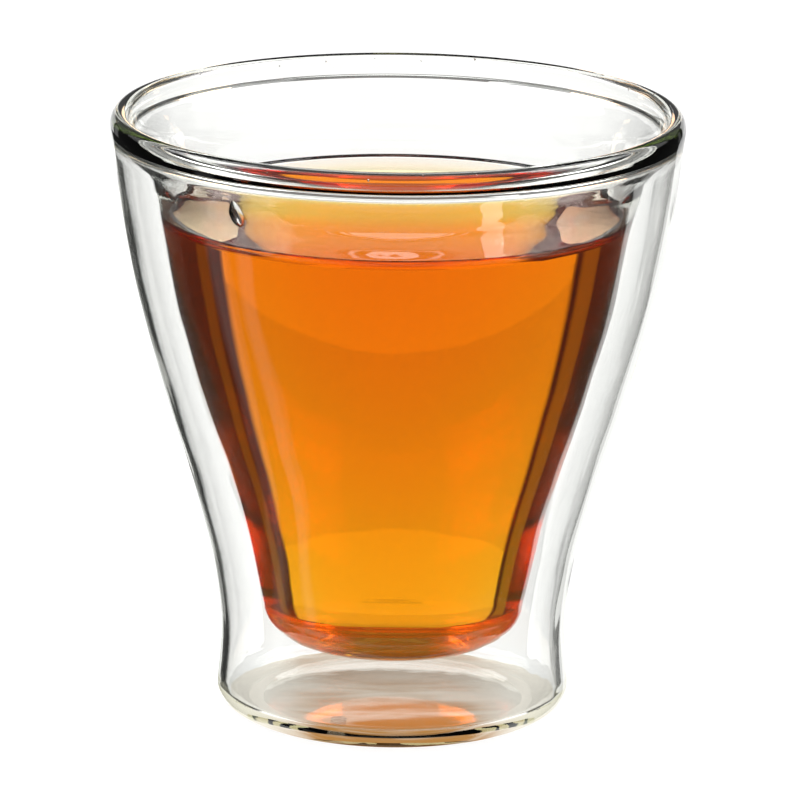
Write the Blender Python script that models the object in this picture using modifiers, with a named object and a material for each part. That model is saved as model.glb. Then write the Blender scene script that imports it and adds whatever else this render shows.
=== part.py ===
"""A double-walled waisted glass of tea, standing on its base.

Sizes are in metres, +Z is up, and the origin is the middle of the ring that the glass stands on.
The glass is one turned solid: an outer skin and an inner cup, fused at the lip, with an air gap
between them. The gap opens at a small vent in the base, which a melted bead of glass plugs.
The tea is a solid up to its level, with the rim that it draws up the wall.
"""

import math

import bpy
import numpy as np

# Driving sizes
HEIGHT = 0.0924
CLEARANCE = 0.0003
STEPS = 48

# Lip: a rounded roll of glass where the two walls are fused
LIP_INNER_RADIUS = 0.0400
LIP_OUTER_RADIUS = 0.0430
LIP_ROUND_HEIGHT = 0.0022
LIP_BASE_HEIGHT = HEIGHT - LIP_ROUND_HEIGHT

# Outer skin, (height, radius): lip, flare, waist and the widest line of the heel
SKIN_WALL = 0.00125
HEEL_HEIGHT = 0.0043
HEEL_RADIUS = 0.0267
SKIN_STATIONS = (
    (LIP_BASE_HEIGHT, LIP_OUTER_RADIUS),
    (0.0776, 0.0415),
    (0.0640, 0.0389),
    (0.0490, 0.0348),
    (0.0340, 0.0302),
    (0.0220, 0.0272),
    (0.0135, 0.0262),
    (HEEL_HEIGHT, HEEL_RADIUS),
)

# Base: a flat ring to stand on, and an underside pushed up inside it
FOOT_OUTER_RADIUS = 0.0212
FOOT_INNER_RADIUS = 0.0198
PUSH_UP = 0.0014
BASE_WALL = 0.0018

# Inner cup, (height, radius) of the face that holds the tea
CUP_WALL = 0.00135
CUP_CORNER_HEIGHT = 0.0171
CUP_CORNER_RADIUS = 0.0184
CUP_FLOOR_HEIGHT = 0.0134
CUP_FLOOR_RADIUS = 0.0130
CUP_UNDERSIDE_HEIGHT = 0.0110
CUP_UNDERSIDE_RADIUS = 0.0120
CUP_NECK_HEIGHT = 0.0790
CUP_STATIONS = (
    (LIP_BASE_HEIGHT, LIP_INNER_RADIUS),
    (0.0868, 0.0370),
    (0.0828, 0.0354),
    (0.0764, 0.0341),
    (0.0640, 0.0318),
    (0.0453, 0.0263),
    (0.0310, 0.0216),
    (CUP_CORNER_HEIGHT, CUP_CORNER_RADIUS),
)

# Air gap: its roof is an arch under the fused lip, which springs lower from the cup than from the skin
GAP_CUP_SHOULDER = 0.0819
GAP_SKIN_SHOULDER = 0.0864
GAP_ROOF_HEIGHT = 0.0884
GAP_ROOF_RADIUS = 0.0395

# Vent in the base and the bead that plugs it
VENT_X = -0.0078
VENT_Y = -0.0155
VENT_RADIUS = 0.0015
BEAD_CROWN = 0.0002

# Tea: its level, and how it is drawn up the wall
TEA_LEVEL = 0.0756
MENISCUS_RISE = 0.0024
CAPILLARY_LENGTH = 0.0026


def smooth_radius(stations, heights):
    """Radius at each height, on a smooth curve through the (height, radius) stations."""
    known = np.array(sorted(stations))
    z, r = known[:, 0], known[:, 1]
    slopes = np.gradient(r, z)
    heights = np.asarray(heights, dtype=float)
    below = np.clip(np.searchsorted(z, heights) - 1, 0, len(z) - 2)
    span = z[below + 1] - z[below]
    t = (heights - z[below]) / span
    return (
        (2 * t**3 - 3 * t**2 + 1) * r[below]
        + (t**3 - 2 * t**2 + t) * span * slopes[below]
        + (3 * t**2 - 2 * t**3) * r[below + 1]
        + (t**3 - t**2) * span * slopes[below + 1]
    )


def wall_line(stations, low, high, count):
    """Points (radius, height) up a wall, from low to high."""
    heights = np.linspace(low, high, count + 1)
    return list(zip(smooth_radius(stations, heights), heights))


def cup_line(high, wall_count, neck_count):
    """Points up the cup's inner face from its bottom corner, closer together on the neck below the lip."""
    wall = wall_line(CUP_STATIONS, CUP_CORNER_HEIGHT, CUP_NECK_HEIGHT, wall_count)
    return wall[:-1] + wall_line(CUP_STATIONS, CUP_NECK_HEIGHT, high, neck_count)


def arc(centre, half_width, half_height, start, end, count):
    """Points on an ellipse's arc, between two angles in degrees from +X."""
    angles = np.radians(np.linspace(start, end, count + 1))
    return [(centre[0] + half_width * math.cos(a), centre[1] + half_height * math.sin(a)) for a in angles]


def shifted(line, distance):
    """The line moved sideways by a distance, to the right of the way that it runs."""
    points = np.array(line)
    along = np.gradient(points, axis=0)
    along /= np.linalg.norm(along, axis=1)[:, None]
    return [tuple(p) for p in points + distance * np.stack([along[:, 1], -along[:, 0]], axis=1)]


def underside(radius):
    """Height of the pushed-up underside of the base at a radius."""
    return PUSH_UP * (1 - (radius / FOOT_INNER_RADIUS) ** 2)


def base_line(lift, count):
    """Points along the underside from the foot to the axis, raised by a lift."""
    radii = np.linspace(FOOT_INNER_RADIUS, 0, count + 1)
    return [(r, underside(r) + lift) for r in radii]


def cup_corner(floor_height, floor_radius, wall, count):
    """Points round a bottom corner of the cup, from the flat floor up to the wall."""
    half_width = CUP_CORNER_RADIUS + wall - floor_radius
    half_height = CUP_CORNER_HEIGHT - floor_height
    return arc((floor_radius, CUP_CORNER_HEIGHT), half_width, half_height, -90, 0, count)


def glass_profile():
    """The glass as if solid: up inside the cup, over the lip, down the skin and in under the base."""
    lip_half_width = (LIP_OUTER_RADIUS - LIP_INNER_RADIUS) / 2
    lip_centre = (LIP_INNER_RADIUS + lip_half_width, LIP_BASE_HEIGHT)
    floor = [(0, CUP_FLOOR_HEIGHT)]
    corner = cup_corner(CUP_FLOOR_HEIGHT, CUP_FLOOR_RADIUS, 0, 5)
    cup = cup_line(LIP_BASE_HEIGHT, 10, 5)
    lip = arc(lip_centre, lip_half_width, LIP_ROUND_HEIGHT, 180, 0, 8)
    skin = wall_line(SKIN_STATIONS, LIP_BASE_HEIGHT, HEEL_HEIGHT, 17)
    heel = arc((FOOT_OUTER_RADIUS, HEEL_HEIGHT), HEEL_RADIUS - FOOT_OUTER_RADIUS, HEEL_HEIGHT, 0, -90, 5)
    return floor + corner[:-1] + cup[:-1] + lip[:-1] + skin[:-1] + heel + base_line(0, 3)


def leaning_arch(start, crown, end, count):
    """Points over an arch from start to end, which leans out to its crown."""
    start, crown, end = np.array(start), np.array(crown), np.array(end)
    middle = (start + end) / 2
    half = (end - start) / 2
    angles = np.linspace(0, math.pi, count + 1)
    return [tuple(middle - half * math.cos(a) + (crown - middle) * math.sin(a)) for a in angles]


def gap_profile():
    """The air gap: out under the cup, up round it, over under the lip, down the skin, in above the base."""
    cup = shifted(cup_line(GAP_CUP_SHOULDER, 9, 3), CUP_WALL)
    skin = shifted(wall_line(SKIN_STATIONS, GAP_SKIN_SHOULDER, HEEL_HEIGHT, 13), SKIN_WALL)
    roof = leaning_arch(cup[-1], (GAP_ROOF_RADIUS, GAP_ROOF_HEIGHT), skin[0], 7)
    floor_edge = underside(FOOT_INNER_RADIUS) + BASE_WALL
    heel_half_width = skin[-1][0] - FOOT_INNER_RADIUS
    heel = arc((FOOT_INNER_RADIUS, HEEL_HEIGHT), heel_half_width, HEEL_HEIGHT - floor_edge, 0, -90, 4)
    corner = cup_corner(CUP_UNDERSIDE_HEIGHT, CUP_UNDERSIDE_RADIUS, CUP_WALL, 4)
    under_cup = [(0, CUP_UNDERSIDE_HEIGHT)]
    return under_cup + corner[:-1] + cup + roof[1:-1] + skin[:-1] + heel + base_line(BASE_WALL, 3)[1:]


def meniscus(wall_radius, count):
    """Points (radius, height) along the tea's surface as it is drawn up the wall, from nearly flat to the wall.

    The surface of a wetting liquid: at a slope s it stands 2 a sin(s / 2) above its level, a being the
    capillary length, and -a (ln tan(s / 4) + 2 cos(s / 2)) away from where it would stand upright.
    """
    steepest = 2 * math.asin(MENISCUS_RISE / (2 * CAPILLARY_LENGTH))

    def away(slope):
        return -CAPILLARY_LENGTH * (math.log(math.tan(slope / 4)) + 2 * math.cos(slope / 2))

    slopes = [steepest * (i + 1) / (count + 1) for i in range(count)]
    return [
        (wall_radius - away(s) + away(steepest), TEA_LEVEL + 2 * CAPILLARY_LENGTH * math.sin(s / 2)) for s in slopes
    ]


def tea_profile():
    """The tea: out along its surface, up the rim at the wall, down inside the cup and in along the floor."""
    wall = shifted(wall_line(CUP_STATIONS, CUP_CORNER_HEIGHT, TEA_LEVEL + MENISCUS_RISE, 9), -CLEARANCE)
    corner = cup_corner(CUP_FLOOR_HEIGHT + CLEARANCE, CUP_FLOOR_RADIUS, -CLEARANCE, 4)
    surface = [(0, TEA_LEVEL)] + meniscus(wall[-1][0], 5)
    floor = [(0, CUP_FLOOR_HEIGHT + CLEARANCE)]
    return surface + wall[::-1] + corner[::-1][1:] + floor


def bead_profile():
    """The melted bead in the vent: a short plug with a crown above the base and one below it."""
    radius = VENT_RADIUS - CLEARANCE
    distance = math.hypot(VENT_X, VENT_Y)
    low, high = underside(distance), underside(distance) + BASE_WALL
    crown = arc((0, high), radius, BEAD_CROWN, 90, 0, 3)
    return crown + arc((0, low), radius, BEAD_CROWN, 0, -90, 3)


def material(name, colour, roughness, transmission, ior, metallic=0.0):
    """A Principled material."""
    made = bpy.data.materials.new(name)
    made.use_nodes = True
    shader = made.node_tree.nodes["Principled BSDF"]
    shader.inputs["Base Color"].default_value = (*colour, 1)
    shader.inputs["Roughness"].default_value = roughness
    shader.inputs["Metallic"].default_value = metallic
    shader.inputs["Transmission Weight"].default_value = transmission
    shader.inputs["IOR"].default_value = ior
    made.diffuse_color = (*colour, 1)
    return made


def turned(name, profile, steps, collection, finish=None, place=(0, 0, 0)):
    """A profile of (radius, height) points turned round the vertical axis by a Screw modifier."""
    mesh = bpy.data.meshes.new(name)
    edges = [(i, i + 1) for i in range(len(profile) - 1)]
    mesh.from_pydata([(r, 0, z) for r, z in profile], edges, [])
    piece = bpy.data.objects.new(name, mesh)
    piece.location = place
    collection.objects.link(piece)
    screw = piece.modifiers.new("turn", "SCREW")
    screw.axis = "Z"
    screw.angle = math.tau
    screw.steps = steps
    screw.render_steps = steps
    screw.use_merge_vertices = True
    screw.merge_threshold = 0.000001
    screw.use_smooth_shade = True
    if finish is not None:
        mesh.materials.append(finish)
    return piece


def cut(piece, cutter):
    """Takes the cutter's shape out of the piece."""
    boolean = piece.modifiers.new("cut_" + cutter.name, "BOOLEAN")
    boolean.operation = "DIFFERENCE"
    boolean.solver = "EXACT"
    boolean.object = cutter
    cutter.hide_render = True
    cutter.display_type = "WIRE"


def make_glass(collection, cutters, finish):
    """The two walls in one piece, hollow between them, with the vent through the base."""
    glass = turned("glass", glass_profile(), STEPS, collection, finish)
    cut(glass, turned("air_gap", gap_profile(), STEPS, cutters))
    vent_height = 2 * (PUSH_UP + BASE_WALL)
    bpy.ops.mesh.primitive_cylinder_add(
        vertices=16, radius=VENT_RADIUS, depth=vent_height, location=(VENT_X, VENT_Y, vent_height / 2 - BASE_WALL)
    )
    vent = bpy.context.object
    vent.name = "vent"
    for owner in list(vent.users_collection):
        owner.objects.unlink(vent)
    cutters.objects.link(vent)
    cut(glass, vent)
    return glass


def new_collection(name):
    """A collection in the scene."""
    made = bpy.data.collections.new(name)
    bpy.context.scene.collection.children.link(made)
    return made


def main():
    for old in list(bpy.data.objects):
        bpy.data.objects.remove(old, do_unlink=True)
    collection = new_collection("glass_of_tea")
    cutters = new_collection("cutters")
    clear = material("clear_glass", (0.97, 0.98, 0.97), 0.0, 1.0, 1.47)
    amber = material("amber_tea", (0.86, 0.40, 0.04), 0.0, 1.0, 1.333)
    make_glass(collection, cutters, clear)
    turned("vent_seal", bead_profile(), 16, collection, clear, (VENT_X, VENT_Y, 0))
    turned("tea", tea_profile(), STEPS, collection, amber)


main()
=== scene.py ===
import math
from typing import NamedTuple

import bmesh
import bpy
import numpy as np
from mathutils import Matrix, Vector, noise


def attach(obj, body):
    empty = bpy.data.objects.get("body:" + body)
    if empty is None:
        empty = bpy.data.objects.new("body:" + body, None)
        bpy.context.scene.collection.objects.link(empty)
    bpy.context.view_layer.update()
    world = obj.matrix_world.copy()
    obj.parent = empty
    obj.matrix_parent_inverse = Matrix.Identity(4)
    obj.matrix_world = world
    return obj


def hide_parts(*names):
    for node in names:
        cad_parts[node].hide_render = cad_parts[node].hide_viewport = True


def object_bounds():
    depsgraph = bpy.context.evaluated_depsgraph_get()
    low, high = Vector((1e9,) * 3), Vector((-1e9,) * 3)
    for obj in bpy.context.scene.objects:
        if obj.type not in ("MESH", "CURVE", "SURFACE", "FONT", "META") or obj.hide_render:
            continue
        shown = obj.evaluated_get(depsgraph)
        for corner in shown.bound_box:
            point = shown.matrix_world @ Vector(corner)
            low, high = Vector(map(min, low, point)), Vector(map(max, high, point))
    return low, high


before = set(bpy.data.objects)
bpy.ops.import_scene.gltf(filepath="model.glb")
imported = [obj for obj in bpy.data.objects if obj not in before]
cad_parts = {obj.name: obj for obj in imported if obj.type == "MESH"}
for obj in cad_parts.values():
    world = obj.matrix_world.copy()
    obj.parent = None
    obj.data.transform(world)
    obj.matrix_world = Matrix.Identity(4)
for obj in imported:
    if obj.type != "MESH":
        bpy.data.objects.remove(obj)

bl_info = {
    "name": "Double-walled glass of tea",
    "version": (1, 0, 0),
    "blender": (4, 5, 0),
    "location": "3D View > Sidebar > Tea glass",
    "description": "Builds a double-walled glass of amber tea around its packed solids, in a plain studio",
    "category": "Add Mesh",
}

CAD_LOW, CAD_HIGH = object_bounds()

# Sizes of the glass, in metres; height and lip radius come from the frame
HEIGHT = CAD_HIGH.z
LIP_OUTER_RADIUS = CAD_HIGH.x
LIP_WIDTH = 0.0030
LIP_INNER_RADIUS = LIP_OUTER_RADIUS - LIP_WIDTH
LIP_ROUND_HEIGHT = 0.0022
LIP_BASE_HEIGHT = HEIGHT - LIP_ROUND_HEIGHT

# Outer skin, (height, radius): lip, flare, waist and the widest line of the heel
HEEL_HEIGHT = 0.0043
HEEL_RADIUS = 0.0267
SKIN_STATIONS = (
    (LIP_BASE_HEIGHT, LIP_OUTER_RADIUS),
    (0.0776, 0.0415),
    (0.0640, 0.0389),
    (0.0490, 0.0348),
    (0.0340, 0.0302),
    (0.0220, 0.0272),
    (0.0135, 0.0262),
    (HEEL_HEIGHT, HEEL_RADIUS),
)

# Base
FOOT_OUTER_RADIUS = 0.0212
FOOT_INNER_RADIUS = 0.0198
PUSH_UP = 0.0014
BASE_WALL = 0.0018

# Inner cup, (height, radius) of the face that holds the tea
CUP_CORNER_HEIGHT = 0.0171
CUP_CORNER_RADIUS = 0.0184
CUP_FLOOR_HEIGHT = 0.0134
CUP_FLOOR_RADIUS = 0.0130
CUP_UNDERSIDE_HEIGHT = 0.0110
CUP_UNDERSIDE_RADIUS = 0.0120
CUP_STATIONS = (
    (LIP_BASE_HEIGHT, LIP_INNER_RADIUS),
    (0.0868, 0.0370),
    (0.0828, 0.0354),
    (0.0764, 0.0341),
    (0.0640, 0.0318),
    (0.0453, 0.0263),
    (0.0310, 0.0216),
    (CUP_CORNER_HEIGHT, CUP_CORNER_RADIUS),
)

# Air gap: its roof is an arch under the fused lip, which springs lower from the cup than from the skin
GAP_CUP_SHOULDER = 0.0819
GAP_SKIN_SHOULDER = 0.0864
GAP_ROOF_HEIGHT = 0.0884
GAP_ROOF_RADIUS = 0.0395

# Small bubbles in the lip: height over the lip's foot, and how far they lie about their ring
SEED_HEIGHT = 0.0011
SEED_SPREAD = 0.00045

# Vent in the base and the bead that plugs it, flat below and fuller above
VENT_PLACE = (-0.0078, -0.0155)
BEAD_RADIUS = 0.0012
BEAD_BELLY = 0.0002
BEAD_CROWN = 3 * BEAD_BELLY
BEAD_LUMPS = 900
BEAD_UNEVENNESS = (0.15, 0.12)

# The blown walls' wander: noise cells round the axis and to a metre up, for a slow wave and for faint
# flutes, with the shares that a finer wave and the flutes have in it
WAVE_ROUND, WAVE_UP = 1.6, 45
FINER, FINER_SHARE = 2.7, 0.35
FLUTES_ROUND, FLUTES_UP, FLUTES_SHARE = 9, 8, 0.5

# The cup's floor: how far it wanders up and down, and its noise cells to a metre. The reach and the
# margin take in the tea's face, which lies a little deeper and wider than the glass's.
FLOOR_UNEVENNESS = 0.00012
FLOOR_LUMPS = 160
FLOOR_REACH = 1.1
FLOOR_MARGIN = 0.0005

# Drops inside the cup: degrees round from +X, height, width, length and depth
DROPS = (
    (-130.0, 0.0832, 0.0028, 0.0046, 0.0006),
)
WATER_INDEX = 1.333

# Discs of the stage: the pool of light, just clear of the floor, and the floor
POOL_RADIUS = 0.026
POOL_LIFT = 0.00004
FLOOR_RADIUS = 60


class GlassSettings(bpy.types.PropertyGroup):
    """Sizes and finish of the two fused walls."""

    skin_wall: bpy.props.FloatProperty(
        name="Skin wall", description="Thickness of the outer skin",
        default=0.00125, unit="LENGTH", precision=5,
    )
    cup_wall: bpy.props.FloatProperty(
        name="Cup wall", description="Thickness of the inner cup",
        default=0.00135, unit="LENGTH", precision=5,
    )
    unevenness: bpy.props.FloatProperty(
        name="Unevenness", description="How far the blown faces wander",
        default=0.00006, unit="LENGTH", precision=6,
    )
    segments: bpy.props.IntProperty(name="Segments", description="Faces round each turned wall", default=192)
    index: bpy.props.FloatProperty(name="Index", description="Index of refraction of the glass", default=1.47)
    tint: bpy.props.FloatVectorProperty(
        name="Tint", description="What a long way through the glass lets through", subtype="COLOR",
        default=(0.62, 0.72, 0.30),
    )
    tint_density: bpy.props.FloatProperty(
        name="Tint density", description="How fast the tint builds up, per metre", default=18.0
    )
    seeds: bpy.props.IntProperty(name="Seeds", description="Small bubbles tried round the lip", default=34)
    seed_radius: bpy.props.FloatProperty(
        name="Seed radius", description="Radius of the largest bubble",
        default=0.0002, unit="LENGTH", precision=5,
    )


class TeaSettings(bpy.types.PropertyGroup):
    """Level and colour of the tea."""

    level: bpy.props.FloatProperty(
        name="Level", description="Height of the tea's surface",
        default=0.0756, unit="LENGTH", precision=4,
    )
    rise: bpy.props.FloatProperty(
        name="Rise", description="How far the tea is drawn up the wall",
        default=0.0024, unit="LENGTH", precision=5,
    )
    capillary: bpy.props.FloatProperty(
        name="Capillary length", description="Sets how wide the drawn-up rim is",
        default=0.0026, unit="LENGTH", precision=5,
    )
    overlap: bpy.props.FloatProperty(
        name="Overlap", description="How far the tea goes into the cup's wall",
        default=0.0001, unit="LENGTH", precision=5,
    )
    density: bpy.props.FloatProperty(
        name="Density", description="Absorption of the strongest absorbed colour, per metre", default=140.0
    )
    passed: bpy.props.FloatVectorProperty(
        name="Passed colour", description="What the tea lets through", subtype="COLOR",
        default=(0.989, 0.807, 0.0),
    )
    index: bpy.props.FloatProperty(name="Index", description="Index of refraction of the tea", default=1.333)


class StageSettings(bpy.types.PropertyGroup):
    """Camera, floor and the bright and dark surroundings."""

    distance: bpy.props.FloatProperty(
        name="Distance", description="From the camera to its target", default=1.1, unit="LENGTH"
    )
    elevation: bpy.props.FloatProperty(
        name="Elevation", description="Of the camera above the target",
        default=math.radians(14.68), subtype="ANGLE",
    )
    roll: bpy.props.FloatProperty(
        name="Roll", description="Turn of the camera about its view",
        default=math.radians(0.661), subtype="ANGLE",
    )
    target: bpy.props.FloatVectorProperty(
        name="Target", description="Point at the picture's middle",
        default=(0.00076, 0.0, 0.0478), unit="LENGTH",
    )
    picture_width: bpy.props.FloatProperty(
        name="Picture width", description="Width that the picture spans at the target",
        default=0.12046, unit="LENGTH",
    )
    room_radius: bpy.props.FloatProperty(
        name="Room radius", description="Of the studio's walls round the glass", default=3.0, unit="LENGTH"
    )
    brightness: bpy.props.FloatProperty(
        name="Brightness", description="Multiplies every lit part of the studio", default=1.0
    )


class Lit(NamedTuple):
    """A lit part of the studio as the glass sees it.

    In degrees: left and right are azimuths from straight behind, low and high are elevations, and edge is
    half the width over which the light fades out.
    """

    name: str
    left: float
    right: float
    low: float
    high: float
    level: float
    edge: float = 1.0


STUDIO = (
    Lit("backdrop", -26, 25, -8.5, 8, 1.15),
    Lit("far table", -26, 25, -8.5, -2.8, 1.32, 0.3),
    Lit("table", -18.5, 28, -43, -7.5, 1.0, 1.0),
    Lit("middle of the table", -6, 6, -43, -7.5, 1.1, 1.0),
    Lit("table at the left", -18.5, -5, -43, -7.5, 1.42, 1.0),
    Lit("table at the right", 5, 11, -43, -7.5, 1.42, 1.5),
    Lit("shade at the left", -34, -28, -8, 6, 0.35),
    Lit("slit at the right", 29, 33, -8, 6, 0.2),
    Lit("near table", -80, 80, -64, -41, 1.5, 2.0),
    Lit("under the glass", -190, 190, -99, -63, 0.5, 1.0),
    Lit("right softbox", 55, 110, 32, 62, 6.0, 2.0),
    Lit("left softbox", -110, -55, 32, 62, 6.0, 2.0),
    Lit("side wall at the right", 42, 78, 12, 56, 0.7, 3.0),
    Lit("side wall at the left", -78, -42, 12, 56, 0.7, 3.0),
    Lit("room at the right", 78, 190, -10, 56, 0.7, 3.0),
    Lit("room at the left", -190, -78, -10, 56, 0.7, 3.0),
    Lit("ceiling", -190, 190, 56, 99, 1.3, 2.0),
    Lit("low strip at the left", -101, -91, -60, -15, 0.4, 1.5),
    Lit("wall above the backdrop", -40, 40, 8, 30, 0.2, 2.0),
)
STUDIO_DARK = 0.03

# Cards that stand close to the glass: name, depth behind it, (across, height) of the corners, light
CARDS = (
    (
        "slim_card", 0.15,
        ((0.017, 0.1), (0.0195, 0.1), (0.0225, 0.135), (0.016, 0.135)),
        (1.3, 1.3, 1.3),
    ),
    (
        "left_card", 0.07,
        ((-0.038, 0.086), (-0.03, 0.086), (-0.0262, 0.105), (-0.038, 0.105)),
        (3.6, 2.8, 1.9),
    ),
    (
        "right_card", 0.07,
        ((0.0305, 0.086), (0.038, 0.086), (0.038, 0.105), (0.0275, 0.105)),
        (3.7, 2.5, 1.7),
    ),
)


# Shader maths


class Sum:
    """A shader socket with arithmetic: an expression on it adds the Math nodes that work it out."""

    def __init__(self, tree, socket):
        self.tree = tree
        self.socket = socket

    def maths(self, operation, *others):
        node = self.tree.nodes.new("ShaderNodeMath")
        node.operation = operation
        for slot, value in zip(node.inputs, (self, *others)):
            if isinstance(value, Sum):
                self.tree.links.new(value.socket, slot)
            else:
                slot.default_value = value
        return Sum(self.tree, node.outputs[0])

    def __add__(self, other):
        return self.maths("ADD", other)

    def __mul__(self, other):
        return self.maths("MULTIPLY", other)

    def __rsub__(self, other):
        return (self * -1) + other

    def between(self, low, high):
        """0 below low, 1 above high, and smooth from one to the other."""
        node = self.tree.nodes.new("ShaderNodeMapRange")
        node.interpolation_type = "SMOOTHSTEP"
        self.tree.links.new(self.socket, node.inputs["Value"])
        node.inputs["From Min"].default_value = low
        node.inputs["From Max"].default_value = high
        return Sum(self.tree, node.outputs["Result"])


class Nodes:
    """A node tree, with one way to add any node."""

    def __init__(self, tree):
        self.tree = tree

    def node(self, kind, settings=None, **sockets):
        """Adds a node: its settings are set first, then its sockets, by value or by link."""
        made = self.tree.nodes.new(kind)
        for key, value in (settings or {}).items():
            setattr(made, key, value)
        for key, value in sockets.items():
            slot = made.inputs[key.replace("_", " ")]
            if isinstance(value, Sum):
                value = value.socket
            if isinstance(value, bpy.types.NodeSocket):
                self.tree.links.new(value, slot)
            else:
                slot.default_value = value
        return made


class Shader(Nodes):
    """A new material and its nodes."""

    def __init__(self, name):
        self.material = bpy.data.materials.new(name)
        self.material.use_nodes = True
        super().__init__(self.material.node_tree)
        self.tree.nodes.clear()
        self.output = self.tree.nodes.new("ShaderNodeOutputMaterial")

    def parts(self, vector):
        """The three numbers of a vector socket."""
        split = self.node("ShaderNodeSeparateXYZ", Vector=vector)
        return [Sum(self.tree, out) for out in split.outputs]

    def surface(self, socket):
        self.tree.links.new(socket, self.output.inputs["Surface"])

    def clear(self, index, stretch, depth, tinge):
        """A clear surface with faint waves in it, which move its Normal and its Base Color a little."""
        place = self.node("ShaderNodeTexCoord").outputs["Object"]
        stretched = self.node("ShaderNodeMapping", Vector=place, Scale=stretch).outputs[0]
        waves = self.node("ShaderNodeTexNoise", Vector=stretched, Scale=1.0, Detail=1.0).outputs["Fac"]
        bump = self.node("ShaderNodeBump", Height=waves, Distance=depth, Strength=1.0)
        shade = self.node(
            "ShaderNodeMix", {"data_type": "RGBA"}, Factor=waves, A=(1, 1, 1, 1), B=(*tinge, 1)
        )
        body = self.node(
            "ShaderNodeBsdfPrincipled",
            Base_Color=shade.outputs["Result"],
            Roughness=0.0,
            IOR=index,
            Transmission_Weight=1.0,
            Normal=bump.outputs[0],
        )
        self.surface(body.outputs[0])

    def absorb(self, passed, density):
        """A colour that builds up along the way through the body."""
        depths = self.node("ShaderNodeVolumeAbsorption", Color=(*passed, 1), Density=density)
        self.tree.links.new(depths.outputs[0], self.output.inputs["Volume"])

    def glow(self, colour):
        """A surface that only shines, and isn't searched for as a lamp."""
        light = self.node("ShaderNodeEmission", Color=colour, Strength=1.0)
        self.surface(light.outputs[0])
        self.material.cycles.emission_sampling = "NONE"


def clear_glass(settings):
    """Clear glass, faintly olive where the way through it is long."""
    shader = Shader("clear_glass")
    shader.clear(settings.index, stretch=(250, 250, 60), depth=0.000012, tinge=(0.994, 0.996, 0.992))
    shader.absorb(settings.tint, settings.tint_density)
    return shader.material


def amber_tea(settings):
    """Clear tea, whose colour deepens with the length of the way through it."""
    shader = Shader("amber_tea")
    shader.clear(settings.index, stretch=(120, 120, 40), depth=0.000004, tinge=(0.996, 0.985, 0.96))
    shader.absorb(settings.passed, settings.density)
    return shader.material


def water_drop():
    """Clear condensed water."""
    shader = Shader("water_drop")
    shader.clear(WATER_INDEX, stretch=(700, 700, 400), depth=0.000004, tinge=(0.98, 0.985, 0.99))
    return shader.material


def light_pool():
    """The tea-coloured light that the glass gathers on the paper under its base.

    It is pale at the sides, and warm and streaked in the middle, more so towards the camera.
    """
    shader = Shader("light_pool")
    place = shader.node("ShaderNodeTexCoord").outputs["Object"]
    across, back, _ = shader.parts(place)
    stretched = shader.node("ShaderNodeMapping", Vector=place, Scale=(45, 170, 1)).outputs[0]
    streaks = shader.node("ShaderNodeTexNoise", Vector=stretched, Scale=1.0, Detail=2.0, Distortion=0.8)
    streak = Sum(shader.tree, streaks.outputs["Fac"])
    aside = (across * across).maths("POWER", 0.5)
    warm = (1 - aside.between(0.009, 0.02)) * (streak.between(0.3, 0.7) * 0.7 + 0.4)
    warm = warm * (1.25 - back.between(-0.016, 0.004) * 0.55)
    colour = shader.node(
        "ShaderNodeMix", {"data_type": "RGBA"}, Factor=warm, A=(1.0, 0.95, 0.86, 1), B=(0.5, 0.24, 0.07, 1)
    )
    shader.glow(colour.outputs["Result"])
    return shader.material


def paper_surround(settings):
    """The studio that the glass bends into view: its lit parts by their angles, and dark elsewhere."""
    shader = Shader("studio_surround")
    across, back, up = shader.parts(shader.node("ShaderNodeTexCoord").outputs["Object"])
    flat = (across * across + back * back).maths("POWER", 0.5)
    turned = across.maths("ARCTAN2", back)
    raised = up.maths("ARCTAN2", flat)

    def within(angle, low, high, edge):
        low, high, edge = math.radians(low), math.radians(high), math.radians(edge)
        return angle.between(low - edge, low + edge) * (1 - angle.between(high - edge, high + edge))

    level = STUDIO_DARK
    for lit in STUDIO:
        inside = within(turned, lit.left, lit.right, lit.edge) * within(raised, lit.low, lit.high, lit.edge)
        level = (inside * lit.level).maths("MAXIMUM", level)
    shader.glow(level * settings.brightness)
    return shader.material


# Turned shapes


def smooth_radius(stations, heights):
    """Radius at each height, on a smooth curve through the (height, radius) stations."""
    known = np.array(sorted(stations))
    z, r = known[:, 0], known[:, 1]
    slopes = np.gradient(r, z)
    heights = np.asarray(heights, dtype=float)
    below = np.clip(np.searchsorted(z, heights) - 1, 0, len(z) - 2)
    span = z[below + 1] - z[below]
    t = (heights - z[below]) / span
    return (
        (2 * t**3 - 3 * t**2 + 1) * r[below]
        + (t**3 - 2 * t**2 + t) * span * slopes[below]
        + (3 * t**2 - 2 * t**3) * r[below + 1]
        + (t**3 - t**2) * span * slopes[below + 1]
    )


def wall_line(stations, low, high, count):
    """Points (radius, height) up a wall, from low to high."""
    heights = np.linspace(low, high, count + 1)
    return list(zip(smooth_radius(stations, heights), heights))


def arc(centre, half_width, half_height, start, end, count):
    """Points on an ellipse's arc, between two angles in degrees from +X."""
    angles = np.radians(np.linspace(start, end, count + 1))
    return [(centre[0] + half_width * math.cos(a), centre[1] + half_height * math.sin(a)) for a in angles]


def shifted(line, distance):
    """The line moved sideways by a distance, to the right of the way that it runs."""
    points = np.array(line)
    along = np.gradient(points, axis=0)
    along /= np.linalg.norm(along, axis=1)[:, None]
    return [tuple(p) for p in points + distance * np.stack([along[:, 1], -along[:, 0]], axis=1)]


def underside(radius):
    """Height of the pushed-up underside of the base at a radius."""
    return PUSH_UP * (1 - (radius / FOOT_INNER_RADIUS) ** 2)


def base_line(lift, count):
    """Points along the underside from the foot to the axis, raised by a lift."""
    radii = np.linspace(FOOT_INNER_RADIUS, 0, count + 1)
    return [(r, underside(r) + lift) for r in radii]


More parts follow.
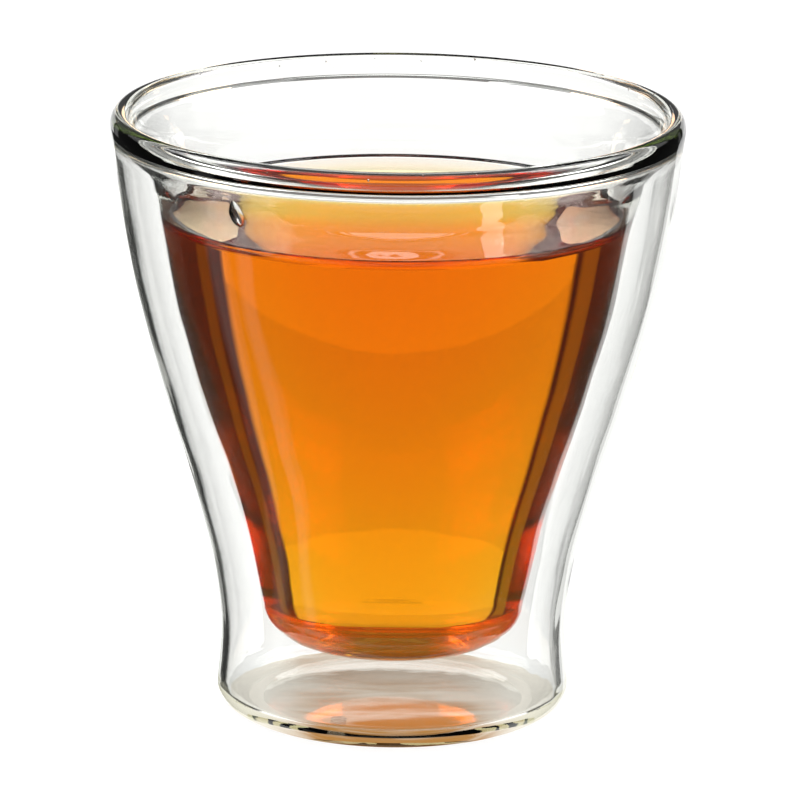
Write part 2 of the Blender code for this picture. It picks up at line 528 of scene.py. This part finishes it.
def cup_corner(floor_height, floor_radius, wall, count):
    """Points round a bottom corner of the cup, from the flat floor up to the wall."""
    half_width = CUP_CORNER_RADIUS + wall - floor_radius
    half_height = CUP_CORNER_HEIGHT - floor_height
    return arc((floor_radius, CUP_CORNER_HEIGHT), half_width, half_height, -90, 0, count)


def flat_line(radius, height, count):
    """Points from the axis out to a radius, at one height."""
    return [(radius * i / count, height) for i in range(count)]


def glass_profile():
    """The glass as if solid: up inside the cup, over the lip, down the skin and in under the base."""
    lip_half_width = LIP_WIDTH / 2
    lip_centre = (LIP_INNER_RADIUS + lip_half_width, LIP_BASE_HEIGHT)
    floor = flat_line(CUP_FLOOR_RADIUS, CUP_FLOOR_HEIGHT, 8)
    corner = cup_corner(CUP_FLOOR_HEIGHT, CUP_FLOOR_RADIUS, 0, 14)
    cup = wall_line(CUP_STATIONS, CUP_CORNER_HEIGHT, LIP_BASE_HEIGHT, 70)
    lip = arc(lip_centre, lip_half_width, LIP_ROUND_HEIGHT, 180, 0, 20)
    skin = wall_line(SKIN_STATIONS, LIP_BASE_HEIGHT, HEEL_HEIGHT, 70)
    heel = arc((FOOT_OUTER_RADIUS, HEEL_HEIGHT), HEEL_RADIUS - FOOT_OUTER_RADIUS, HEEL_HEIGHT, 0, -90, 14)
    return floor + corner[:-1] + cup[:-1] + lip[:-1] + skin[:-1] + heel + base_line(0, 14)


def leaning_arch(start, crown, end, count):
    """Points over an arch from start to end, which leans out to its crown."""
    start, crown, end = np.array(start), np.array(crown), np.array(end)
    middle = (start + end) / 2
    half = (end - start) / 2
    angles = np.linspace(0, math.pi, count + 1)
    return [tuple(middle - half * math.cos(a) + (crown - middle) * math.sin(a)) for a in angles]


def gap_profile(skin_wall, cup_wall):
    """The air gap: out under the cup, up round it, over under the lip, down the skin, in above the base."""
    cup = shifted(wall_line(CUP_STATIONS, CUP_CORNER_HEIGHT, GAP_CUP_SHOULDER, 60), cup_wall)
    skin = shifted(wall_line(SKIN_STATIONS, GAP_SKIN_SHOULDER, HEEL_HEIGHT, 60), skin_wall)
    roof = leaning_arch(cup[-1], (GAP_ROOF_RADIUS, GAP_ROOF_HEIGHT), skin[0], 20)
    floor_edge = underside(FOOT_INNER_RADIUS) + BASE_WALL
    heel_half_width = skin[-1][0] - FOOT_INNER_RADIUS
    heel = arc((FOOT_INNER_RADIUS, HEEL_HEIGHT), heel_half_width, HEEL_HEIGHT - floor_edge, 0, -90, 10)
    corner = cup_corner(CUP_UNDERSIDE_HEIGHT, CUP_UNDERSIDE_RADIUS, cup_wall, 12)
    under_cup = flat_line(CUP_UNDERSIDE_RADIUS, CUP_UNDERSIDE_HEIGHT, 8)
    return under_cup + corner[:-1] + cup + roof[1:-1] + skin[:-1] + heel + base_line(BASE_WALL, 14)[1:]


def meniscus(settings, wall_radius, count):
    """Points (radius, height) along the tea's surface as it is drawn up the wall, from nearly flat.

    The surface of a wetting liquid: at a slope s it stands 2 a sin(s / 2) above its level, a being the
    capillary length, and -a (ln tan(s / 4) + 2 cos(s / 2)) away from where it would stand upright.
    """
    size = settings.capillary
    steepest = 2 * math.asin(settings.rise / (2 * size))

    def away(slope):
        return -size * (math.log(math.tan(slope / 4)) + 2 * math.cos(slope / 2))

    crowding = 1.6
    slopes = [steepest * ((i + 1) / (count + 1)) ** crowding for i in range(count)]
    return [
        (wall_radius - away(s) + away(steepest), settings.level + 2 * size * math.sin(s / 2)) for s in slopes
    ]


def tea_profile(settings):
    """The tea: out along its surface, up the rim, down just inside the cup's wall and in along the floor."""
    top = settings.level + settings.rise
    wall = shifted(wall_line(CUP_STATIONS, CUP_CORNER_HEIGHT, top, 60), settings.overlap)
    rim = meniscus(settings, wall[-1][0], 24)
    surface = flat_line(rim[0][0], settings.level, 8) + rim
    corner = cup_corner(CUP_FLOOR_HEIGHT - settings.overlap, CUP_FLOOR_RADIUS, settings.overlap, 14)
    floor = flat_line(CUP_FLOOR_RADIUS, CUP_FLOOR_HEIGHT - settings.overlap, 8)
    return surface + wall[::-1] + corner[::-1][1:] + floor[::-1]


def turn(form, profile, segments, shape=None):
    """Adds a profile turned round the vertical axis to a bmesh; shape may move each point.

    The faces point out of a profile that runs down its outer side, and into the hollow of one that runs
    up it.
    """
    rings = []
    for radius, height in profile:
        if radius < 1e-7:
            rings.append([form.verts.new((0, 0, height))])
            continue
        ring = []
        for i in range(segments):
            angle = math.tau * i / segments
            ring.append(form.verts.new((radius * math.cos(angle), radius * math.sin(angle), height)))
        rings.append(ring)
    for upper, lower in zip(rings, rings[1:]):
        for i in range(segments):
            j = i + 1
            left = (upper[i % len(upper)], lower[i % len(lower)])
            right = (lower[j % len(lower)], upper[j % len(upper)])
            form.faces.new(dict.fromkeys(left + right))
    if shape is not None:
        for vert in {v for ring in rings for v in ring}:
            vert.co = shape(vert.co)


def wandering(amount, seed):
    """A blown wall's slow wander in and out, with faint flutes up it: moves a point along its radius."""

    def shape(point):
        radius = math.hypot(point.x, point.y)
        if radius < 1e-7:
            return point
        around = Vector((point.x, point.y, 0)) / radius
        place = Vector((around.x * WAVE_ROUND, around.y * WAVE_ROUND, point.z * WAVE_UP))
        place = place + Vector((seed, 0, 0))
        wave = noise.noise(place) + FINER_SHARE * noise.noise(place * FINER)
        flutes = noise.noise(
            Vector((around.x * FLUTES_ROUND, around.y * FLUTES_ROUND, point.z * FLUTES_UP + seed))
        )
        return point + around * (amount * (wave + FLUTES_SHARE * flutes))

    return shape


def uneven_floor(point):
    """Lets the cup's floor wander up and down, alike for the glass and for the tea that fills it."""
    depth = (CUP_CORNER_HEIGHT - point.z) / (CUP_CORNER_HEIGHT - CUP_FLOOR_HEIGHT)
    if not 0 < depth < FLOOR_REACH or math.hypot(point.x, point.y) > CUP_CORNER_RADIUS + FLOOR_MARGIN:
        return point
    lump = noise.noise(Vector((point.x * FLOOR_LUMPS, point.y * FLOOR_LUMPS, 5.0)))
    return point + Vector((0, 0, FLOOR_UNEVENNESS * depth * lump))


def piece_from(name, form, material, smooth=True):
    """A finished object from a bmesh, at the origin, with its material."""
    mesh = bpy.data.meshes.new(name)
    form.to_mesh(mesh)
    form.free()
    mesh.materials.append(material)
    if smooth:
        mesh.shade_smooth()
    piece = bpy.data.objects.new(name, mesh)
    bpy.context.scene.collection.objects.link(piece)
    return piece


def seed_tree():
    """Geometry Nodes: small bubbles of random sizes, scattered about a ring."""
    tree = bpy.data.node_groups.new("seeds_in_the_lip", "GeometryNodeTree")
    kinds = {
        "Count": "NodeSocketInt",
        "Ring radius": "NodeSocketFloat",
        "Ring height": "NodeSocketFloat",
        "Spread": "NodeSocketFloat",
        "Seed radius": "NodeSocketFloat",
        "Material": "NodeSocketMaterial",
    }
    for name, kind in kinds.items():
        tree.interface.new_socket(name, in_out="INPUT", socket_type=kind)
    tree.interface.new_socket("Geometry", in_out="OUTPUT", socket_type="NodeSocketGeometry")
    nodes = Nodes(tree)
    given = nodes.node("NodeGroupInput").outputs
    ring = nodes.node("GeometryNodeMeshCircle", Vertices=given["Count"], Radius=given["Ring radius"])
    draw = nodes.node(
        "FunctionNodeRandomValue", {"data_type": "FLOAT_VECTOR"}, Min=(-1, -1, -1), Max=(1, 1, 1), Seed=4
    )
    scatter = nodes.node(
        "ShaderNodeVectorMath", {"operation": "SCALE"}, Vector=draw.outputs["Value"], Scale=given["Spread"]
    )
    raised = nodes.node("GeometryNodeSetPosition", Geometry=ring.outputs["Mesh"], Offset=scatter.outputs[0])
    lift = nodes.node("ShaderNodeCombineXYZ", Z=given["Ring height"])
    placed = nodes.node("GeometryNodeSetPosition", Geometry=raised.outputs[0], Offset=lift.outputs[0])
    ball = nodes.node("GeometryNodeMeshIcoSphere", Radius=given["Seed radius"], Subdivisions=3)
    size = nodes.node("FunctionNodeRandomValue", {"data_type": "FLOAT"}, Min=0.25, Max=1.0, Seed=9)
    scattered = nodes.node(
        "GeometryNodeInstanceOnPoints",
        Points=placed.outputs[0],
        Instance=ball.outputs["Mesh"],
        Scale=size.outputs["Value"],
    )
    real = nodes.node("GeometryNodeRealizeInstances", Geometry=scattered.outputs[0])
    finished = nodes.node("GeometryNodeSetMaterial", Geometry=real.outputs[0], Material=given["Material"])
    nodes.node("NodeGroupOutput", Geometry=finished.outputs[0])
    return tree


def add_seeds(form, settings, material):
    """Adds the lip's small bubbles to the glass: hollows, so their faces point into them."""
    holder = bpy.data.objects.new("seeds", bpy.data.meshes.new("seeds"))
    bpy.context.scene.collection.objects.link(holder)
    modifier = holder.modifiers.new("seeds", "NODES")
    modifier.node_group = seed_tree()
    given = {
        "Count": settings.seeds,
        "Ring radius": (LIP_INNER_RADIUS + LIP_OUTER_RADIUS) / 2,
        "Ring height": LIP_BASE_HEIGHT + SEED_HEIGHT,
        "Spread": SEED_SPREAD,
        "Seed radius": settings.seed_radius,
        "Material": material,
    }
    for item in modifier.node_group.interface.items_tree:
        if item.name in given:
            modifier[item.identifier] = given[item.name]
    bpy.context.view_layer.update()
    ready = holder.evaluated_get(bpy.context.evaluated_depsgraph_get())
    seeds = bpy.data.meshes.new_from_object(ready)
    known = len(form.faces)
    form.from_mesh(seeds)
    form.faces.ensure_lookup_table()
    bmesh.ops.reverse_faces(form, faces=form.faces[known:])
    bpy.data.objects.remove(holder)
    bpy.data.meshes.remove(seeds)


def add_drop(form, turned, height, width, length, depth):
    """Adds a drop that clings to the cup's inner face, at an angle round the axis and a height."""
    radius = float(smooth_radius(CUP_STATIONS, [height])[0])
    above = float(smooth_radius(CUP_STATIONS, [height + length / 2])[0])
    outward = Vector((math.cos(turned), math.sin(turned), 0))
    up = (outward * (above - radius) + Vector((0, 0, length / 2))).normalized()
    side = outward.cross(up).normalized()
    inward = side.cross(up).normalized()
    if inward.dot(outward) > 0:
        inward = -inward
    centre = outward * radius + Vector((0, 0, height))
    ball = bmesh.ops.create_icosphere(form, subdivisions=4, radius=1)["verts"]
    for vert in ball:
        across, out, along = vert.co
        narrow = 1 - 0.45 * max(0.0, along)
        full = 0.75 - 0.35 * along
        vert.co = centre + side * (across * narrow * width / 2) + inward * (out * full * depth) + up * (
            along * length / 2
        )


# Operators for the pieces


class TEAGLASS_OT_walls(bpy.types.Operator):
    """Make the skin, the cup and the fused lip in one piece of glass"""

    bl_idname = "tea_glass.walls"
    bl_label = "Glass walls"

    def execute(self, context):
        settings = context.scene.tea_glass_walls
        form = bmesh.new()
        turn(form, glass_profile(), settings.segments, uneven_floor)
        turn(
            form,
            gap_profile(settings.skin_wall, settings.cup_wall)[::-1],
            settings.segments,
            wandering(settings.unevenness, 3.0),
        )
        material = clear_glass(settings)
        add_seeds(form, settings, material)
        glass = piece_from("double_walled_glass", form, material)
        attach(glass, "root")
        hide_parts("glass")
        return {"FINISHED"}


class TEAGLASS_OT_tea(bpy.types.Operator):
    """Fill the cup with tea up to its level"""

    bl_idname = "tea_glass.tea"
    bl_label = "Tea"

    def execute(self, context):
        settings = context.scene.tea_glass_tea
        form = bmesh.new()
        turn(form, tea_profile(settings), context.scene.tea_glass_walls.segments, uneven_floor)
        tea = piece_from("tea_fill", form, amber_tea(settings))
        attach(tea, "root")
        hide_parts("tea")
        return {"FINISHED"}


class TEAGLASS_OT_bead(bpy.types.Operator):
    """Melt the bead that plugs the vent in the base"""

    bl_idname = "tea_glass.bead"
    bl_label = "Vent bead"

    def execute(self, context):
        distance = math.hypot(*VENT_PLACE)
        low, high = underside(distance), underside(distance) + BASE_WALL
        crown = arc((0, high), BEAD_RADIUS, BEAD_CROWN, 90, 0, 8)
        belly = arc((0, low), BEAD_RADIUS, BEAD_BELLY, 0, -90, 8)
        form = bmesh.new()
        turn(form, crown + belly, 32)
        for vert in form.verts:
            lump = noise.noise(vert.co * BEAD_LUMPS)
            vert.co.x *= 1 + BEAD_UNEVENNESS[0] * lump
            vert.co.y *= 1 + BEAD_UNEVENNESS[1] * lump
        bmesh.ops.translate(form, verts=form.verts, vec=(*VENT_PLACE, 0))
        bead = piece_from("vent_bead", form, bpy.data.materials["clear_glass"])
        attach(bead, "root")
        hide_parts("vent_seal")
        return {"FINISHED"}


class TEAGLASS_OT_drops(bpy.types.Operator):
    """Hang the drops of condensed water inside the cup, above the tea"""

    bl_idname = "tea_glass.drops"
    bl_label = "Drops"

    def execute(self, context):
        form = bmesh.new()
        for turned, height, width, length, depth in DROPS:
            add_drop(form, math.radians(turned), height, width, length, depth)
        drops = piece_from("condensed_drops", form, water_drop())
        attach(drops, "root")
        return {"FINISHED"}


# Stage


def hang(thing, turntable):
    """Hangs a part of the studio on the turntable, seen only in the glass and the tea.

    The camera, diffuse light and shadows pass it by.
    """
    thing.parent = turntable
    thing.visible_camera = False
    thing.visible_diffuse = False
    thing.visible_shadow = False


def lit_card(name, depth, corners, colour):
    """A card with one even light."""
    shader = Shader(name)
    shader.glow((*colour, 1))
    form = bmesh.new()
    form.faces.new([form.verts.new((across, depth, height)) for across, height in corners])
    return piece_from(name, form, shader.material, smooth=False)


def disc(radius, height):
    """A flat round face, facing up."""
    form = bmesh.new()
    bmesh.ops.create_circle(form, cap_ends=True, segments=64, radius=radius)
    bmesh.ops.translate(form, verts=form.verts, vec=(0, 0, height))
    return form


def place_camera(scene, settings):
    """The camera that sees the glass as the photograph does."""
    camera = bpy.data.objects.new("camera", bpy.data.cameras.new("camera"))
    scene.collection.objects.link(camera)
    scene.camera = camera
    camera.data.lens = camera.data.sensor_width * settings.distance / settings.picture_width
    camera.data.clip_start = 0.01
    camera.data.clip_end = 20
    lean = Matrix.Rotation(math.pi / 2 - settings.elevation, 4, "X")
    roll = Matrix.Rotation(settings.roll, 4, "Z")
    away = Vector((0, -math.cos(settings.elevation), math.sin(settings.elevation))) * settings.distance
    camera.matrix_world = Matrix.Translation(Vector(settings.target) + away) @ lean @ roll
    return camera


def lay_floor():
    """The plain pale floor, which the glass doesn't show: the surround stands in for it there."""
    shader = Shader("pale_floor")
    paper = shader.node(
        "ShaderNodeBsdfPrincipled",
        Base_Color=(0.15, 0.15, 0.15, 1),
        Roughness=1.0,
        Emission_Color=(1, 1, 1, 1),
        Emission_Strength=0.93,
    )
    shader.surface(paper.outputs[0])
    floor = piece_from("floor", disc(FLOOR_RADIUS, 0), shader.material, smooth=False)
    floor.visible_transmission = False
    floor.visible_glossy = False


def turntable_facing(scene, camera):
    """An empty at the glass that turns to the camera about the vertical axis."""
    turntable = bpy.data.objects.new("turntable", None)
    scene.collection.objects.link(turntable)
    follow = turntable.constraints.new("LOCKED_TRACK")
    follow.target = camera
    follow.track_axis = "TRACK_NEGATIVE_Y"
    follow.lock_axis = "LOCK_Z"
    return turntable


def light_studio(settings, turntable):
    """The surround, its cards and the pool of light, all turning with the turntable."""
    form = bmesh.new()
    bmesh.ops.create_icosphere(form, subdivisions=4, radius=settings.room_radius)
    hang(piece_from("surround", form, paper_surround(settings)), turntable)
    for card in CARDS:
        hang(lit_card(*card), turntable)
    pool = disc(POOL_RADIUS, POOL_LIFT)
    hang(piece_from("light_pool", pool, light_pool(), smooth=False), turntable)


def whiten_world(scene):
    """A white room behind everything, shown in its true values."""
    world = bpy.data.worlds.new("white_room")
    world.use_nodes = True
    background = world.node_tree.nodes["Background"]
    background.inputs["Color"].default_value = (1, 1, 1, 1)
    background.inputs["Strength"].default_value = 1.0
    scene.world = world
    scene.view_settings.view_transform = "Standard"


class TEAGLASS_OT_stage(bpy.types.Operator):
    """Set the camera, the pale floor and the soft studio"""

    bl_idname = "tea_glass.stage"
    bl_label = "Stage"

    def execute(self, context):
        scene = context.scene
        settings = scene.tea_glass_stage
        camera = place_camera(scene, settings)
        lay_floor()
        light_studio(settings, turntable_facing(scene, camera))
        whiten_world(scene)
        scene.cycles.max_bounces = 32
        scene.cycles.transmission_bounces = 32
        scene.cycles.glossy_bounces = 16
        return {"FINISHED"}


class TEAGLASS_PT_panel(bpy.types.Panel):
    """Lists the pieces and the stage"""

    bl_idname = "TEAGLASS_PT_panel"
    bl_label = "Tea glass"
    bl_space_type = "VIEW_3D"
    bl_region_type = "UI"
    bl_category = "Tea glass"

    def draw(self, context):
        for operator in OPERATORS:
            self.layout.operator(operator.bl_idname)
        for name in SETTINGS:
            settings = getattr(context.scene, name)
            box = self.layout.box()
            for key in settings.__annotations__:
                box.prop(settings, key)


SETTINGS = {"tea_glass_walls": GlassSettings, "tea_glass_tea": TeaSettings, "tea_glass_stage": StageSettings}
OPERATORS = (TEAGLASS_OT_walls, TEAGLASS_OT_tea, TEAGLASS_OT_bead, TEAGLASS_OT_drops, TEAGLASS_OT_stage)


def register():
    for kind in (*SETTINGS.values(), *OPERATORS, TEAGLASS_PT_panel):
        bpy.utils.register_class(kind)
    for name, kind in SETTINGS.items():
        setattr(bpy.types.Scene, name, bpy.props.PointerProperty(type=kind))


def unregister():
    for name in SETTINGS:
        delattr(bpy.types.Scene, name)
    for kind in (TEAGLASS_PT_panel, *OPERATORS, *SETTINGS.values()):
        bpy.utils.unregister_class(kind)


def main():
    register()
    bpy.ops.tea_glass.walls()
    bpy.ops.tea_glass.tea()
    bpy.ops.tea_glass.bead()
    bpy.ops.tea_glass.drops()
    bpy.ops.tea_glass.stage()


if __name__ == "__main__":
    main()
